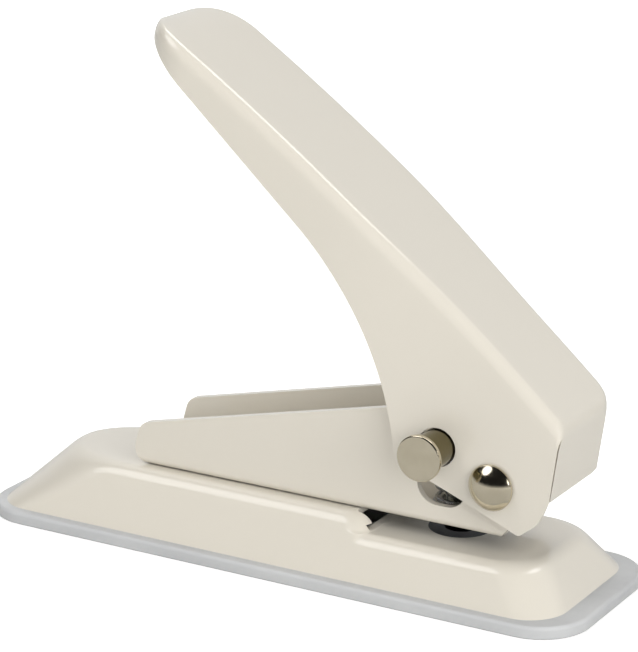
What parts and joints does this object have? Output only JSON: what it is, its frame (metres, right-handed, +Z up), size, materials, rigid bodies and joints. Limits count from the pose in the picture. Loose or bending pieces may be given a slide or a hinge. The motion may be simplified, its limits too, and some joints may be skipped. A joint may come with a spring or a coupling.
{
  "type": "single hole punch",
  "caption": "Desk punch with an enamelled channel lever on a channel frame, a sprung punch over a paper slot, a flat-headed side pin and a chip tray under its base.",
  "frame": {"origin": "middle of the chip tray's flat underside, on the desk", "axes": "+Z up, +X towards the paper slot, -Y the side with the flat-headed pin"},
  "size_m": [0.1266, 0.04, 0.0989],
  "materials": {
    "cream_enamel": "satin stoved enamel",
    "grey_plastic": "moulded satin",
    "nickel": "polished nickel plate",
    "zinc_steel": "zinc plated",
    "tool_steel": "ground and hardened",
    "spring_wire": "drawn wire"
  },
  "bodies": {
    "base": {"base_plate": "cream_enamel", "die": "tool_steel", "die_ring": "zinc_steel", "frame": "cream_enamel", "frame_rivets": "zinc_steel", "punch_guide": "tool_steel", "pivot_rivet": "nickel", "pivot_cap": "nickel", "pivot_spacer": "zinc_steel", "pivot_washers": "zinc_steel", "spring_seat": "zinc_steel", "return_spring": "spring_wire"},
    "lever": {"lever": "cream_enamel"},
    "side_pin": {"side_pin": "nickel", "side_pin_washer": "zinc_steel", "side_pin_ring": "spring_wire"},
    "punch": {"punch_rod": "tool_steel", "punch_head": "zinc_steel", "spring_washer": "zinc_steel"},
    "chip_tray": {"chip_tray": "grey_plastic"}
  },
  "joints": [
    {"name": "lever_press", "type": "hinge", "parent": "base", "child": "lever", "pos_m": [0.044, 0, 0.0233], "axis": [0, -1, 0], "range_deg": [0, 30], "stiffness_Nm_per_rad": 0.4, "springref_deg": -14.32},
    {"name": "punch_stroke", "type": "slide", "parent": "base", "child": "punch", "axis": [0, 0, -1], "range_m": [0, 0.00621], "deforming": ["return_spring"]},
    {"name": "pin_push", "type": "slide", "parent": "lever", "child": "side_pin", "axis": [0, 1, 0], "range_m": [0, 0.0035]},
    {"name": "tray_release", "type": "slide", "parent": "base", "child": "chip_tray", "axis": [0, 0, -1], "range_m": [0, 0.012]}
  ],
  "couplings": [
    {"joint": "punch_stroke", "follows": "lever_press", "m_per_rad": 0.011816}
  ]
}
